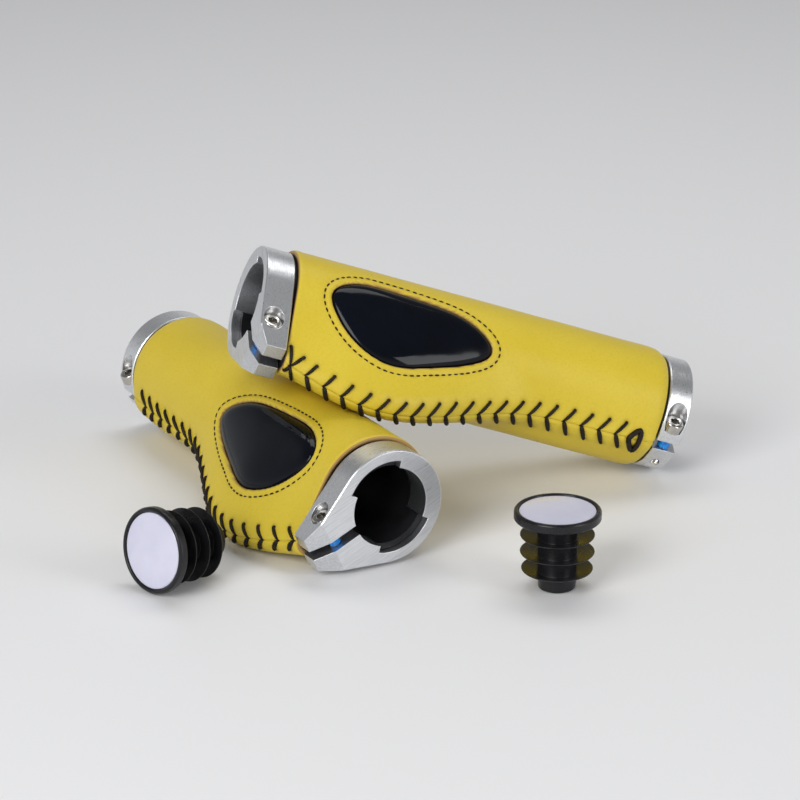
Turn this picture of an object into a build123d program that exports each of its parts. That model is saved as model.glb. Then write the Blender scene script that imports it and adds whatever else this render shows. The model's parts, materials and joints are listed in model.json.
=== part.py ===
"""Pair of winged, leather-covered lock-on handlebar grips with two bar-end plugs.

Each grip is built along its own bar: local Z runs from the inner end to the outer end of the
handlebar, local X points along the palm wing, local Y towards the side that carries the gel pad.
Built that way it is the left grip. The right grip is its mirror image.
Units are millimetres. In the finished set +Z is up and the floor is at Z = 0.
"""

from build123d import *
import os
from math import acos, asin, atan, atan2, cos, degrees, hypot, radians, sin

# ---- handlebar and the fit on it ----
BAR_RADIUS = 11.1
BAR_CLEARANCE = 0.05
BORE_RADIUS = BAR_RADIUS + BAR_CLEARANCE

# ---- overall grip ----
GRIP_LENGTH = 128.8
OUTER_CLAMP_WIDTH = 8.3
INNER_CLAMP_WIDTH = 7.0
FLANGE_THICKNESS = 0.8
FLANGE_RADIUS = 15.0

# ---- core sleeve ----
SLEEVE_RADIUS = 12.9
TAB_SETBACK = 2.4
TAB_SIDE_GAP = 0.3

# ---- clamps ----
CLAMP_RADIUS = 16.15
NOTCH_CLEARANCE = 0.2
NOTCH_SPAN = 80.0
SLIT_WIDTH = 3.0
NOSE_REACH = 25.1
NOSE_END_WIDTH = 10.6
NOSE_BEVEL_START = 19.2
NOSE_BEVEL_DEPTH = 2.6
CLAMP_EDGE = 0.3

# ---- pinch bolts, M3 cap heads ----
BOLT_RADIUS = 1.5
BOLT_LENGTH = 12.0
BOLT_TIP_CHAMFER = 0.3
HEAD_RADIUS = 2.75
HEAD_HEIGHT = 3.0
HEAD_CHAMFER = 0.25
HEX_ACROSS_FLATS = 2.5
HEX_DEPTH = 1.6
OUTER_HEAD_SEAT = 5.3
INNER_HEAD_SEAT = 4.6
COUNTERBORE_CLEARANCE = 0.2
SHANK_CLEARANCE = 0.1
THREAD_CLEARANCE = 0.05
# distance of each bolt from the bar's axis and from its clamp's open face
OUTER_BOLT_REACH = 17.4
OUTER_BOLT_SETBACK = 3.6
INNER_BOLT_REACH = 13.6
INNER_BOLT_SETBACK = 3.5
PATCH_THICKNESS = 0.35
PATCH_END_GAP = 0.3
# side of the thread that carries the compound, as a turn from the wing towards the clamp's bar end
OUTER_PATCH_TURN = 120.0
INNER_PATCH_TURN = 0.0

# ---- leather-covered body ----
BARREL_RADIUS = 17.2
# distance from the cover's inner end, drop of the rolled edge below the barrel
ROLLED_END = [(0.0, 1.2), (1.3, 0.45), (2.8, 0.1), (4.4, 0.0), (7.0, 0.0)]
LEATHER = 1.3
GLUE_GAP = 0.05
# distance from the cover's inner end, reach of the wing edge, radius of the wing edge
BARREL_STATIONS = [(14.0, 18.7, 7.0), (26.0, 18.4, 7.0), (37.0, 18.4, 7.0)]
# distance from the cover's outer end, reach of the wing edge, radius of the wing edge
PALM_STATIONS = [
    (65.0, 20.8, 7.2),
    (55.0, 25.1, 6.8),
    (45.0, 29.8, 5.9),
    (36.0, 33.2, 5.3),
    (27.5, 34.4, 5.0),
    (17.0, 32.8, 4.7),
    (8.0, 29.4, 4.4),
    (0.0, 25.8, 4.2),
]

# ---- gel pad in its window ----
PAD_FACING = 63.0
# distance from the cover's outer end, height along the pad's face towards the wing edge
PAD_OUTLINE = [
    (57.9, 4.6),
    (53.6, -0.9),
    (40.0, -5.2),
    (26.0, -6.2),
    (15.6, -4.9),
    (10.4, -0.4),
    (12.5, 5.9),
    (19.6, 13.4),
    (28.6, 16.9),
    (40.0, 14.3),
    (53.2, 8.9),
]
OUTLINE_STEPS = 36
PAD_DEPTH = 2.4
PAD_PROUD = 0.9
WINDOW_GAP = 0.4
PAD_POCKET_GAP = 0.1

# ---- threads ----
THREAD_LIFT = 0.03
LACE_THICKNESS = 0.55
LACE_WIDTH = 1.1
LACE_PITCH = 5.35
LACE_SLANT = 36.0
LONG_STITCH_RISE = 4.0
SHORT_STITCH_RISE = 2.9
LACE_END_MARGIN = 2.6
STITCH_THICKNESS = 0.25
STITCH_WIDTH = 0.45
STITCH_MARGIN = 2.3

# ---- bar-end plug ----
PLUG_LENGTH = 22.5
PLUG_HEAD_RADIUS = 11.7
PLUG_HEAD_THICKNESS = 2.9
PLUG_HEAD_CHAMFER = 0.35
PLUG_CORE_RADIUS = 5.6
PLUG_TIP_RADIUS = 5.0
PLUG_FINS = [(15.4, 10.0), (10.6, 10.0), (5.8, 9.6)]
FIN_EDGE = 0.35
FIN_ROOT = 1.3
FIN_SWEEP = 1.1
LABEL_RADIUS = 10.3
LABEL_RIM_GAP = 0.25
LABEL_RECESS = 0.9
LABEL_THICKNESS = 0.5
LABEL_DOME = 0.35

# ---- how the set lies on the floor ----
RIGHT_HEADING = -59.7
RIGHT_INNER_END = (-67.6, -14.3)
LEFT_HEADING = 190.9
LEFT_INCLINE = 19.2
LEFT_DROOP = 18.4
LEFT_INNER_END = (77.1, -51.2)
STANDING_PLUG = (41.8, -139.5)
LYING_PLUG = (-65.9, -143.2)
LYING_PLUG_HEADING = -135.3

# ---- sizes that follow ----
COVER_START = INNER_CLAMP_WIDTH + FLANGE_THICKNESS
COVER_END = GRIP_LENGTH - OUTER_CLAMP_WIDTH - FLANGE_THICKNESS
SLEEVE_START = INNER_CLAMP_WIDTH
SLEEVE_END = GRIP_LENGTH - OUTER_CLAMP_WIDTH
NOTCH_RADIUS = SLEEVE_RADIUS + NOTCH_CLEARANCE
OUTER_BOLT_HEIGHT = GRIP_LENGTH - OUTER_BOLT_SETBACK
INNER_BOLT_HEIGHT = INNER_BOLT_SETBACK
# longer than any way through a grip; used only for tools that cut or trim
FAR = 3 * CLAMP_RADIUS


# ---- the body's outer shape ----
def wing_section(height, barrel, reach, edge, inset):
    """Barrel circle and wing-edge circle joined by tangent lines, as one closed face."""
    span = reach - edge
    tangent = acos((barrel - edge) / span)
    r_barrel = barrel - inset
    r_edge = edge - inset
    barrel_up = (r_barrel * cos(tangent), r_barrel * sin(tangent))
    barrel_down = (barrel_up[0], -barrel_up[1])
    edge_up = (span + r_edge * cos(tangent), r_edge * sin(tangent))
    edge_down = (edge_up[0], -edge_up[1])
    outline = Wire(
        [
            Edge.make_three_point_arc(barrel_up, (-r_barrel, 0), barrel_down),
            Edge.make_line(barrel_down, edge_down),
            Edge.make_three_point_arc(edge_down, (span + r_edge, 0), edge_up),
            Edge.make_line(edge_up, barrel_up),
        ]
    )
    return Pos(0, 0, height) * Face(outline)


def grip_stations():
    """Stations as (height, barrel radius, wing reach, edge radius) from inner to outer end."""
    first_wing = BARREL_STATIONS[0][1] - BARREL_RADIUS
    first_edge = BARREL_STATIONS[0][2]
    stations = []
    for distance, drop in ROLLED_END:
        radius = BARREL_RADIUS - drop
        reach = radius + first_wing * (0.5 + 0.5 * distance / BARREL_STATIONS[0][0])
        stations.append((COVER_START + distance, radius, reach, first_edge))
    for distance, reach, edge in BARREL_STATIONS:
        stations.append((COVER_START + distance, BARREL_RADIUS, reach, edge))
    for distance, reach, edge in PALM_STATIONS:
        stations.append((COVER_END - distance, BARREL_RADIUS, reach, edge))
    return stations


def palm_form(inset):
    """Solid inside the leather's outer surface, moved inwards by inset."""
    return loft([wing_section(*station, inset) for station in grip_stations()])


def widest_station():
    return max(PALM_STATIONS, key=lambda station: station[1])


# ---- pad outline ----
PAD_PLANE = Plane(
    origin=(0, 0, COVER_END),
    x_dir=(0, 0, -1),
    z_dir=(cos(radians(PAD_FACING)), sin(radians(PAD_FACING)), 0),
)


def pad_outline(margin):
    """The pad's outline moved outwards by margin, as a closed face on the pad's plane."""
    pad_edge = Edge.make_spline([(along, -rise) for along, rise in PAD_OUTLINE], periodic=True)
    moved = []
    for step in range(OUTLINE_STEPS):
        where = step / OUTLINE_STEPS
        tangent = pad_edge % where
        moved.append(pad_edge @ where + Vector(tangent.Y, -tangent.X) * margin)
    return PAD_PLANE * Face(Wire([Edge.make_spline(moved, periodic=True)]))


def pad_prism(margin):
    """Column over the pad's outline, widened by margin, through the pad side of the grip."""
    return extrude(pad_outline(margin), FAR)


# ---- grip pieces ----
def tab_sector(inner, outer, half_angle, start, length):
    """Pair of opposite ring segments centred on local +Y and -Y."""
    ring = Circle(outer) - Circle(inner)
    reach = 2 * outer
    wedge = Polygon(
        (0, 0),
        (reach * sin(half_angle), reach * cos(half_angle)),
        (-reach * sin(half_angle), reach * cos(half_angle)),
        align=None,
    )
    pair = (ring & wedge) + (ring & (Rot(0, 0, 180) * wedge))
    return Pos(0, 0, start) * extrude(pair, length)


def core_sleeve():
    """Hard tube that slides on the bar, with end flanges and the tabs that key the clamps."""
    tube = Pos(0, 0, SLEEVE_START) * extrude(Circle(SLEEVE_RADIUS), SLEEVE_END - SLEEVE_START)
    flange = extrude(Circle(FLANGE_RADIUS), FLANGE_THICKNESS)
    half_angle = radians(NOTCH_SPAN / 2) - TAB_SIDE_GAP / SLEEVE_RADIUS
    inner_tabs = tab_sector(
        BORE_RADIUS, SLEEVE_RADIUS, half_angle, TAB_SETBACK, INNER_CLAMP_WIDTH - TAB_SETBACK
    )
    outer_tabs = tab_sector(
        BORE_RADIUS, SLEEVE_RADIUS, half_angle, SLEEVE_END, OUTER_CLAMP_WIDTH - TAB_SETBACK
    )
    solid = tube + Pos(0, 0, SLEEVE_START) * flange
    solid += Pos(0, 0, SLEEVE_END - FLANGE_THICKNESS) * flange
    solid -= extrude(Circle(BORE_RADIUS), GRIP_LENGTH)
    return solid + inner_tabs + outer_tabs


def palm_body(pocket):
    """Moulded rubber body over the sleeve, with the pocket that the gel pad sits in."""
    solid = palm_form(LEATHER + GLUE_GAP)
    solid -= extrude(Circle(SLEEVE_RADIUS + GLUE_GAP), GRIP_LENGTH)
    return solid - pocket


def leather_cover():
    shell = palm_form(0) - palm_form(LEATHER)
    return shell - pad_prism(WINDOW_GAP)


def seam_lacing():
    """Herringbone lacing along the wing edge: a long slanted and a short stitch at each step."""
    layer = palm_form(-THREAD_LIFT - LACE_THICKNESS) - palm_form(-THREAD_LIFT)
    first = COVER_START + LACE_END_MARGIN
    run = COVER_END - LACE_END_MARGIN - first
    count = int(run / LACE_PITCH)
    slant = radians(LACE_SLANT)
    above = (Align.MIN, Align.MIN, Align.CENTER)
    below = (Align.MIN, Align.MAX, Align.CENTER)
    long_stitch = Box(FAR, LONG_STITCH_RISE / cos(slant), LACE_WIDTH, align=above)
    short_stitch = Box(FAR, SHORT_STITCH_RISE, LACE_WIDTH, align=below)
    stitches = []
    for step in range(count):
        height = COVER_END - LACE_END_MARGIN - step * run / count
        long_place = Pos(BORE_RADIUS, LACE_WIDTH / 2, height) * Rot(-LACE_SLANT, 0, 0)
        short_place = Pos(BORE_RADIUS, -LACE_WIDTH / 4, height)
        stitches.append(layer & (long_place * long_stitch))
        stitches.append(layer & (short_place * short_stitch))
    return Compound([solid for stitch in stitches for solid in stitch.solids()])


def window_stitching():
    """Line of machine stitches in the leather around the pad's window."""
    layer = palm_form(-THREAD_LIFT - STITCH_THICKNESS) - palm_form(-THREAD_LIFT)
    band = pad_prism(STITCH_MARGIN + STITCH_WIDTH) - pad_prism(STITCH_MARGIN)
    return layer & band


def gel_pad():
    pad = palm_form(-PAD_PROUD) - palm_form(PAD_DEPTH)
    return pad & pad_prism(0)


def pad_pocket():
    return pad_prism(PAD_POCKET_GAP) - palm_form(PAD_DEPTH + GLUE_GAP)


# ---- clamps and bolts ----
def clamp_blank(width, nose):
    """Outside of a clamp as a solid with broken edges: a disc and, if asked, the nose."""
    if nose:
        half = NOSE_END_WIDTH / 2
        turn = atan2(half, NOSE_REACH) + acos(CLAMP_RADIUS / hypot(half, NOSE_REACH))
        touch = (CLAMP_RADIUS * cos(turn), CLAMP_RADIUS * sin(turn))
        corner = (NOSE_REACH, half)
        outline = Wire(
            [
                Edge.make_three_point_arc(touch, (-CLAMP_RADIUS, 0), (touch[0], -touch[1])),
                Edge.make_line((touch[0], -touch[1]), (NOSE_REACH, -half)),
                Edge.make_line((NOSE_REACH, -half), corner),
                Edge.make_line(corner, touch),
            ]
        )
        blank = extrude(Face(outline), width)
    else:
        blank = extrude(Circle(CLAMP_RADIUS), width)
    return blank


def broken_ends(blank):
    """The blank with the outer edges of both its end faces chamfered."""
    faces = blank.faces().sort_by(Axis.Z)
    return chamfer(faces[0].edges() + faces[-1].edges(), CLAMP_EDGE)


def clamp_cuts(width):
    """What is cut through a clamp along the bar: bore, tab notches and slit."""
    reach = 2 * NOTCH_RADIUS
    half_angle = radians(NOTCH_SPAN / 2)
    wedge = Polygon(
        (0, 0),
        (reach * sin(half_angle), reach * cos(half_angle)),
        (-reach * sin(half_angle), reach * cos(half_angle)),
        align=None,
    )
    notch = Circle(NOTCH_RADIUS) & (wedge + Rot(0, 0, 180) * wedge)
    slit = Pos(CLAMP_RADIUS, 0) * Rectangle(2 * CLAMP_RADIUS, SLIT_WIDTH)
    return extrude(Circle(BORE_RADIUS) + notch + slit, width)


def along_bolt(reach, height, start, radius, length):
    """Cylinder on a bolt's axis, which runs along local Y; it grows towards +Y from start."""
    return Pos(reach, start, height) * Rot(-90, 0, 0) * extrude(Circle(radius), length)


def bolt_holes(reach, height, seat):
    """Counterbore down to the head's seat, clearance hole in one jaw, thread in the other."""
    counterbore = along_bolt(reach, height, seat, HEAD_RADIUS + COUNTERBORE_CLEARANCE, FAR)
    clearance = along_bolt(reach, height, 0, BOLT_RADIUS + SHANK_CLEARANCE, seat)
    thread = along_bolt(reach, height, -FAR, BOLT_RADIUS + THREAD_CLEARANCE, FAR)
    return counterbore + clearance + thread


def outer_clamp():
    """Split collar at the bar's end, with a bevelled nose that carries the pinch bolt."""
    slope = NOSE_BEVEL_DEPTH / (NOSE_REACH - NOSE_BEVEL_START)
    past = NOSE_REACH + CLAMP_EDGE
    bevel = Plane.XZ * Polygon(
        (NOSE_BEVEL_START, OUTER_CLAMP_WIDTH),
        (past, OUTER_CLAMP_WIDTH - slope * (past - NOSE_BEVEL_START)),
        (past, OUTER_CLAMP_WIDTH),
        align=None,
    )
    collar = broken_ends(clamp_blank(OUTER_CLAMP_WIDTH, nose=True))
    collar -= extrude(bevel, NOSE_END_WIDTH, both=True)
    collar = Pos(0, 0, GRIP_LENGTH - OUTER_CLAMP_WIDTH) * (collar - clamp_cuts(OUTER_CLAMP_WIDTH))
    return collar - bolt_holes(OUTER_BOLT_REACH, OUTER_BOLT_HEIGHT, OUTER_HEAD_SEAT)


def inner_clamp():
    """Round split collar; its bolt's counterbore breaks out of the rim as an open slot."""
    collar = broken_ends(clamp_blank(INNER_CLAMP_WIDTH, nose=False))
    collar -= clamp_cuts(INNER_CLAMP_WIDTH)
    return collar - bolt_holes(INNER_BOLT_REACH, INNER_BOLT_HEIGHT, INNER_HEAD_SEAT)


def pinch_bolt(reach, height, seat):
    head = along_bolt(reach, height, seat, HEAD_RADIUS, HEAD_HEIGHT)
    head = chamfer(head.edges().sort_by(Axis.Y)[-1], HEAD_CHAMFER)
    shank = along_bolt(reach, height, seat - BOLT_LENGTH, BOLT_RADIUS, BOLT_LENGTH)
    shank = chamfer(shank.edges().sort_by(Axis.Y)[0], BOLT_TIP_CHAMFER)
    hexagon = RegularPolygon(HEX_ACROSS_FLATS / 2, 6, major_radius=False)
    socket = Pos(reach, seat + HEAD_HEIGHT - HEX_DEPTH, height) * Rot(-90, 0, 0)
    return head + shank - socket * extrude(hexagon, HEX_DEPTH)


def lock_patch(reach, height, turn):
    """Thread-locking compound on one side of the thread, along the stretch inside the slit."""
    half = SLIT_WIDTH / 2 - PATCH_END_GAP
    ring = along_bolt(reach, height, -half, BOLT_RADIUS + PATCH_THICKNESS, 2 * half)
    ring -= along_bolt(reach, height, -half, BOLT_RADIUS, 2 * half)
    one_side = Box(FAR, FAR, FAR, align=(Align.MIN, Align.CENTER, Align.CENTER))
    return ring & (Pos(reach, 0, height) * Rot(0, -turn, 0) * one_side)


def grip_pieces():
    """All pieces of the left grip in its own frame, by plain name."""
    outer = (OUTER_BOLT_REACH, OUTER_BOLT_HEIGHT)
    inner = (INNER_BOLT_REACH, INNER_BOLT_HEIGHT)
    return {
        "core_sleeve": core_sleeve(),
        "palm_body": palm_body(pad_pocket()),
        "leather_cover": leather_cover(),
        "seam_lacing": seam_lacing(),
        "window_stitching": window_stitching(),
        "gel_pad": gel_pad(),
        "outer_clamp": outer_clamp(),
        "outer_clamp_bolt": pinch_bolt(*outer, OUTER_HEAD_SEAT),
        "outer_bolt_patch": lock_patch(*outer, OUTER_PATCH_TURN),
        "inner_clamp": inner_clamp(),
        "inner_clamp_bolt": pinch_bolt(*inner, INNER_HEAD_SEAT),
        "inner_bolt_patch": lock_patch(*inner, INNER_PATCH_TURN),
    }


# ---- plugs, built upright with the label on top ----
def plug_body():
    """Head with a recessed face on a tapered stem that carries the sealing fins."""
    head_base = PLUG_LENGTH - PLUG_HEAD_THICKNESS
    recess = LABEL_RADIUS + LABEL_RIM_GAP
    head = Pos(0, 0, head_base) * extrude(Circle(PLUG_HEAD_RADIUS), PLUG_HEAD_THICKNESS)
    head = chamfer(head.edges(), PLUG_HEAD_CHAMFER)
    head -= Pos(0, 0, PLUG_LENGTH - LABEL_RECESS) * extrude(Circle(recess), LABEL_RECESS)
    upright = (Align.CENTER, Align.CENTER, Align.MIN)
    solid = head + Cone(PLUG_TIP_RADIUS, PLUG_CORE_RADIUS, head_base, align=upright)
    for top, radius in PLUG_FINS:
        fin = Plane.XZ * Polygon(
            (0, top - FIN_SWEEP),
            (PLUG_TIP_RADIUS, top - FIN_SWEEP),
            (radius, top),
            (radius, top - FIN_EDGE),
            (PLUG_TIP_RADIUS, top - FIN_SWEEP - FIN_ROOT),
            (0, top - FIN_SWEEP - FIN_ROOT),
            align=None,
        )
        solid += revolve(fin, Axis.Z)
    return solid


def label_disc():
    """Bare domed disc in the plug's recess."""
    base = PLUG_LENGTH - LABEL_RECESS
    ball = (LABEL_RADIUS**2 + LABEL_DOME**2) / (2 * LABEL_DOME)
    disc = Pos(0, 0, base) * extrude(Circle(LABEL_RADIUS), LABEL_THICKNESS + LABEL_DOME)
    return disc & Pos(0, 0, base + LABEL_THICKNESS + LABEL_DOME - ball) * Sphere(ball)


# ---- places of the pieces in the set ----
def heading(azimuth, incline):
    a = radians(azimuth)
    i = radians(incline)
    return Vector(cos(a) * cos(i), sin(a) * cos(i), sin(i))


def wing_direction(axis, side, droop):
    """Unit vector across the axis that sinks below the level line on one side by droop."""
    level = axis.cross(Vector(0, 0, 1)).normalized() * side
    up = Vector(0, 0, 1) - axis * axis.Z
    return level * cos(radians(droop)) - up.normalized() * sin(radians(droop))


def right_place():
    """The right grip lies on its barrel and its wing edge."""
    edge = widest_station()
    droop = degrees(asin((BARREL_RADIUS - edge[2]) / (edge[1] - edge[2])))
    axis = heading(RIGHT_HEADING, 0)
    wing = wing_direction(axis, 1, droop)
    origin = (RIGHT_INNER_END[0], RIGHT_INNER_END[1], BARREL_RADIUS)
    return Plane(origin=origin, x_dir=wing, z_dir=axis).location


def left_place():
    """The left grip stands on the rim of its inner clamp and leans over the right one."""
    axis = heading(LEFT_HEADING, LEFT_INCLINE)
    wing = wing_direction(axis, -1, LEFT_DROOP)
    incline = radians(LEFT_INCLINE)
    height = CLAMP_RADIUS * cos(incline) - CLAMP_EDGE * sin(incline)
    origin = (LEFT_INNER_END[0], LEFT_INNER_END[1], height)
    return Plane(origin=origin, x_dir=wing, z_dir=axis).location


def lying_place():
    """The lying plug rests on the lower rim of its head and on the edge of its last fin."""
    fin_top, fin_radius = PLUG_FINS[-1]
    rim_height = PLUG_LENGTH - PLUG_HEAD_THICKNESS + PLUG_HEAD_CHAMFER
    tilt = atan((PLUG_HEAD_RADIUS - fin_radius) / (rim_height - fin_top + FIN_EDGE))
    axis = heading(LYING_PLUG_HEADING, degrees(tilt))
    face_height = PLUG_HEAD_RADIUS * cos(tilt) + (PLUG_LENGTH - rim_height) * sin(tilt)
    face = Vector(LYING_PLUG[0], LYING_PLUG[1], face_height)
    return Plane(origin=face - axis * PLUG_LENGTH, z_dir=axis).location


def build_set():
    """Every node of the set by name, with the origin under the middle of the whole."""
    nodes = {}
    left_grip = grip_pieces()
    for name, piece in left_grip.items():
        nodes["right_" + name] = right_place() * mirror(piece, about=Plane.XZ)
        nodes["left_" + name] = left_place() * piece
    nodes["standing_plug_body"] = Pos(*STANDING_PLUG, 0) * plug_body()
    nodes["standing_plug_label"] = Pos(*STANDING_PLUG, 0) * label_disc()
    nodes["lying_plug_body"] = lying_place() * plug_body()
    nodes["lying_plug_label"] = lying_place() * label_disc()
    box = Compound(list(nodes.values())).bounding_box()
    middle = box.center()
    return {name: Pos(-middle.X, -middle.Y, -box.min.Z) * node for name, node in nodes.items()}


def main():
    os.makedirs("parts", exist_ok=True)
    for name, node in build_set().items():
        export_step(node, f"parts/{name}.step")


main()
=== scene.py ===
"""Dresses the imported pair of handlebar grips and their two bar-end plugs.

Shapes are worked out in millimetres in each grip's own frame: reach (towards the palm wing),
rise (towards the side with the gel pad) and along (from the inner end to the outer end).
"""

import json
import math

import bmesh
import bpy
import numpy as np
from mathutils import Matrix, Vector, noise


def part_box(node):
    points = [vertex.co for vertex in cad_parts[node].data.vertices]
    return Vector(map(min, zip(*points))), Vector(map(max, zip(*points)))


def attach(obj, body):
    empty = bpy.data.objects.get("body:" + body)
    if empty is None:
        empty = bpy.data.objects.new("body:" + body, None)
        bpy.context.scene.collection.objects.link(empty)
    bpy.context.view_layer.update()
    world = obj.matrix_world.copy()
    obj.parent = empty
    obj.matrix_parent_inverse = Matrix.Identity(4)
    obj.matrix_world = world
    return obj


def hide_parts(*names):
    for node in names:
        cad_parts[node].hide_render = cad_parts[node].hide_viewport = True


MM = 0.001

# ---- sizes shared with the solids, in mm ----
GRIP_LENGTH = 128.8
OUTER_CLAMP_WIDTH = 8.3
INNER_CLAMP_WIDTH = 7.0
FLANGE = 0.8
COVER_START = INNER_CLAMP_WIDTH + FLANGE
COVER_END = GRIP_LENGTH - OUTER_CLAMP_WIDTH - FLANGE
BARREL = 17.2
LEATHER = 1.3
ROLLED_END = [(0.0, 1.2), (1.3, 0.45), (2.8, 0.1), (4.4, 0.0), (7.0, 0.0)]
BARREL_STATIONS = [(14.0, 18.7, 7.0), (26.0, 18.4, 7.0), (37.0, 18.4, 7.0)]
PALM_STATIONS = [
    (65.0, 20.8, 7.2), (55.0, 25.1, 6.8), (45.0, 29.8, 5.9), (36.0, 33.2, 5.3),
    (27.5, 34.4, 5.0), (17.0, 32.8, 4.7), (8.0, 29.4, 4.4), (0.0, 25.8, 4.2),
]
# the direction that the pad faces, in the grip's cross-section
PAD_REACH, PAD_RISE = math.cos(math.radians(63.0)), math.sin(math.radians(63.0))
PAD_OUTLINE = [
    (57.9, 4.6), (53.6, -0.9), (40.0, -5.2), (26.0, -6.2), (15.6, -4.9), (10.4, -0.4),
    (12.5, 5.9), (19.6, 13.4), (28.6, 16.9), (40.0, 14.3), (53.2, 8.9),
]
WINDOW_GAP = 0.4
PAD_DEPTH = 2.4
# height of each clamp's bolt seat above the bar's centre line
HEAD_SEATS = {"outer": 5.3, "inner": 4.6}
BOLT_RADIUS = 1.5
BOLT_PITCH = 0.5
BOLT_LENGTH = 12.0
BOLT_HEAD_RADIUS = 2.75
BOLT_HEAD_HEIGHT = 3.0
BOLT_SOCKET = 1.25
BOLT_SIDES = 72
BOLT_NECK = 1.3
THREAD_DEPTH = 0.28
THREAD_STEPS = 7
# the thread fades out over this length under the head, and begins this far beyond the tip
THREAD_RUN_OUT = 0.6
TIP_START = 0.1
HEAD_GRIPS = 24
HEAD_GRIP = 0.035
# the chamfer under the head as (height, inset); the drop from the top at which its grips end
HEAD_CHAMFER = (0.12, 0.15)
GRIPS_DROP = 0.45
# steps of the head's rounded edge as (drop from the top, inset), and of the socket as (drop, share)
HEAD_ROUNDING = [(0.25, 0.05), (0.05, 0.25), (0.0, 0.4)]
SOCKET_STEPS = [(0.0, 1.08), (0.1, 1.0), (2.1, 0.98), (2.6, 0.3)]
PLUG_LENGTH = 22.5
PLUG_HEAD_RADIUS = 11.7
PLUG_HEAD_THICKNESS = 2.9
SHOULDER = PLUG_LENGTH - PLUG_HEAD_THICKNESS
STEM_RADIUS = 5.15
LABEL_RECESS = 0.9
LABEL_RADIUS = 10.3
RECESS_RADIUS = LABEL_RADIUS + 0.15
# (height of its lip, radius) of each sealing fin
PLUG_FINS = [(5.8, 9.6), (10.6, 10.0), (15.4, 10.0)]
# steps of the plug's profile as (distance beyond a radius, distance above a height)
STEM_FOOT = [(-0.95, 0.0), (-0.15, 0.35)]
FIN_UNDERSIDE = [(0.0, -2.4)]
FIN_EDGE = [(-0.1, -0.38), (0.0, 0.0)]
FIN_TOP = [(0.1, -1.05)]
STEM_TOP = [(0.35, -1.0), (0.75, 0.0)]
HEAD_UNDERSIDE = [(-0.5, 0.0), (0.0, 0.45)]
HEAD_RIM = [(0.0, -0.55), (-0.45, 0.0)]
RECESS_LIP = [(0.3, 0.0), (0.0, -0.35)]
RECESS_FLOOR = [(0.0, 0.0), (-1.45, 0.0)]
LABEL_EDGE = [(-0.7, 0.0), (-0.2, 0.05), (-0.02, 0.2), (0.0, 0.38), (-0.15, 0.52)]
# the label's dome: its middle over the recess, and the radius at which it is lower by its drop
LABEL_CROWN = 0.86
LABEL_DROP = 0.34
DROP_RADIUS = 10.1
DOME_RADII = (9.8, 9.0, 7.5, 5.5, 3.0, 1.0, 0.2)
# points closer than this are one point
MERGE = 0.001
SHARP_ANGLE = 40

# ---- the pad's skin, in mm: it dips under the leather at its rim and rises to a crown ----
PAD_SINK = 0.35
PAD_RIM = 1.0
PAD_ROLL = 1.3
PAD_CROWN = 0.75
# points round the pad, and its rings as shares of its size, close together where it rolls over
PAD_POINTS = 160
PAD_SHARES = np.concatenate([
    1 - np.array([0.0, 0.02, 0.04, 0.065, 0.095, 0.13, 0.17, 0.22, 0.28, 0.34]),
    np.linspace(0.6, 0.06, 11)])
# the window's cutter reaches from below the leather to well above it
CUTTER_HEIGHTS = (2.0, 40.0)
# stands for the gap to the window on the side of the grip that has none
FAR = 50.0

# ---- threads, in mm ----
# the seam wanders round the wing's edge: (distance from the outer end, distance round it)
SEAM_TRACK = {
    "left": [
        (0, 1.3), (6, 0.8), (16, 0.0), (30, -0.4), (60, -0.5), (73, 0.0), (88, 1.0), (99, 1.3),
        (112, 0.9),
    ],
    "right": [(0, 2.6), (12, 1.8), (35, 1.4), (60, 1.4), (75, 1.6), (92, 2.9), (112, 3.3)],
}
# distances of the first and the last stitch from the cover's outer end
LACE_SPAN = {"left": (5.8, 99.2), "right": (0.6, 100.9)}
LACE_STEPS = {"left": 18, "right": 20}
# a stitch is (distance round from the seam, distance towards the inner end)
LONG_STITCH = {"left": (4.2, 2.6), "right": (3.8, 3.5)}
SHORT_STITCH = {"left": (-4.6, 2.6), "right": (-3.0, 1.5)}
LONG_RADIUS = 0.53
SHORT_RADIUS = 0.66
SHORT_OFFSET = 0.6
STITCH_WANDER = 0.14
WANDER_TURN = 7.3
# along a stitch: shares of its length, its height over the leather, and its thickness there
STITCH_SHARES = np.array([0.0, 0.06, 0.18, 0.35, 0.55, 0.75, 0.9, 0.98, 1.02])
STITCH_LIFTS = np.array([-0.5, 0.0, 0.22, 0.34, 0.38, 0.34, 0.26, 0.0, -0.6])
LONG_SHAPE = np.array([0.4, 0.55, 0.8, 0.97, 1.05, 1.0, 0.9, 1.0, 0.9])
SHORT_SHAPE = np.array([0.8, 0.95, 1.05, 1.1, 1.05, 0.9, 0.7, 0.55, 0.4])
# the left grip's lacing is locked by crossed stitches and ends in a closed loop
KNOT_INSET = 1.5
KNOT_STITCHES = [(4.3, 3.2), (5.4, -0.7), (-4.6, 2.2), (-2.2, -1.1)]
LOOP_PLACE = 103.8
LOOP = [(0.1, 0.1), (1.4, 2.1), (2.6, 3.0), (3.2, 1.0), (3.2, -1.8), (2.6, -3.9), (1.4, -2.5)]
LOOP_RADIUS = 0.82
LOOP_LIFT = 0.36
THREAD_LAY = 2.6
THREAD_STEP = 0.28
# how far the hollows between the plies are from the thread's middle, as a share of its radius
PLY_HOLLOW = 0.86
RUNNING_PITCH = 2.0
RUNNING_DASH = 1.4
RUNNING_RADIUS = 0.27
RUNNING_MARGIN = 2.2
RUNNING_SINK = 0.16
RUNNING_POINTS = 240

# ---- the leather's skin, in mm ----
# reliefs as (height, distance from the feature, width)
SEAM_GROOVE = (-0.3, 0.0, 0.22)
SEAM_LIP = (0.13, 0.95, 0.55)
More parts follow.
